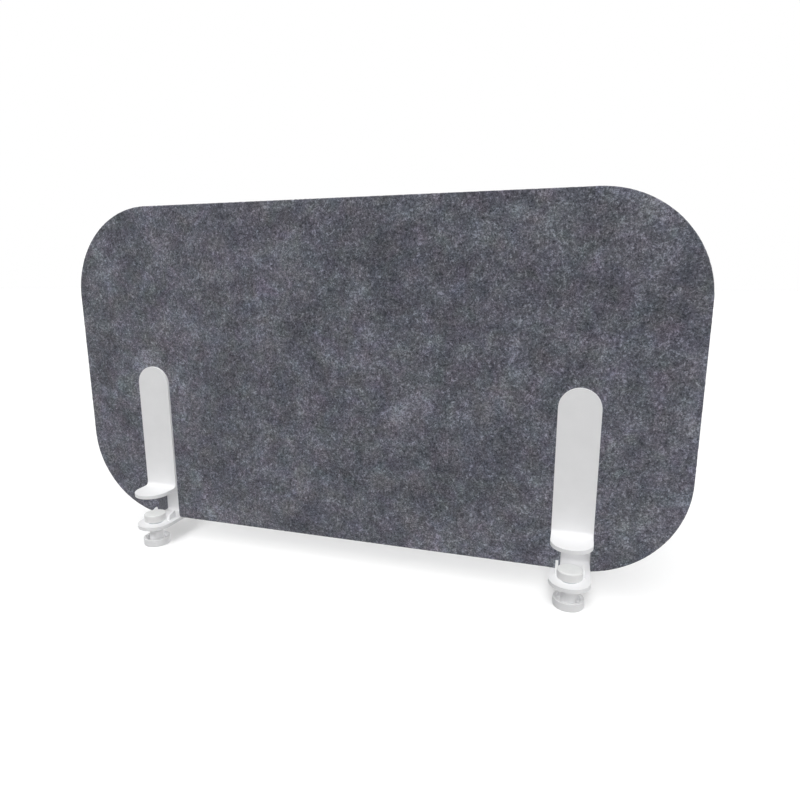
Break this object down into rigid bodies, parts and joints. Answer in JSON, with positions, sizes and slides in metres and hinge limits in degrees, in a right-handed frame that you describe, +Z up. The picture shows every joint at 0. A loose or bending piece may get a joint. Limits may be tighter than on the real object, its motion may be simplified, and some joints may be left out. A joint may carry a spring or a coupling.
{
  "type": "desk clamp acoustic screen",
  "caption": "Felt acoustic desk screen with rounded corners, held upright at a desk's edge by forked screw clamps with swivel pads.",
  "frame": {"origin": "bottom centre of the whole screen, midway between its ends, halfway through its depth and level with the knobs' undersides", "axes": "+X to the right along the board's width as seen from the clamp jaws' side, +Y from the jaws to the back of the board, +Z up"},
  "size_m": [0.8, 0.0706, 0.4616],
  "materials": {
    "felt": "pressed polyester felt, mottled dark grey blue",
    "white_paint": "satin white powder coat",
    "knob_plastic": "fine matt white moulding",
    "pad_plastic": "fine matt white moulding",
    "facing_rubber": "matt pale grey",
    "liner_rubber": "matt dark grey",
    "steel": "zinc plated"
  },
  "bodies": {
    "clamp_frames": {"left_front_bracket": "white_paint", "left_rear_bracket": "white_paint", "left_bracket_screws": "steel", "left_jaw_liner": "liner_rubber", "left_thread_bush": "steel", "right_front_bracket": "white_paint", "right_rear_bracket": "white_paint", "right_bracket_screws": "steel", "right_jaw_liner": "liner_rubber", "right_thread_bush": "steel"},
    "board": {"board": "felt"},
    "left_pad": {"left_pad": "pad_plastic", "left_pad_facing": "facing_rubber", "left_pad_ring": "steel"},
    "left_screw": {"left_spindle": "steel", "left_knob": "knob_plastic", "left_knob_cap": "knob_plastic"},
    "right_pad": {"right_pad": "pad_plastic", "right_pad_facing": "facing_rubber", "right_pad_ring": "steel"},
    "right_screw": {"right_spindle": "steel", "right_knob": "knob_plastic", "right_knob_cap": "knob_plastic"}
  },
  "joints": [
    {"name": "board_lift", "type": "slide", "parent": "clamp_frames", "child": "board", "axis": [0, 0, 1], "range_m": [0, 0.22]},
    {"name": "left_pad_rise", "type": "slide", "parent": "clamp_frames", "child": "left_pad", "axis": [0, 0, 1], "range_m": [0, 0.0073]},
    {"name": "left_knob_turn", "type": "hinge", "parent": "left_pad", "child": "left_screw", "pos_m": [-0.2879, -0.01175, 0], "axis": [0, 0, 1], "range_deg": [-72, 1980]},
    {"name": "right_pad_rise", "type": "slide", "parent": "clamp_frames", "child": "right_pad", "axis": [0, 0, 1], "range_m": [0, 0.0073]},
    {"name": "right_knob_turn", "type": "hinge", "parent": "right_pad", "child": "right_screw", "pos_m": [0.2771, -0.01175, 0], "axis": [0, 0, 1], "range_deg": [-72, 1980]}
  ],
  "couplings": [
    {"joint": "left_knob_turn", "follows": "left_pad_rise", "rad_per_m": 4188.8},
    {"joint": "right_knob_turn", "follows": "right_pad_rise", "rad_per_m": 4188.8}
  ]
}
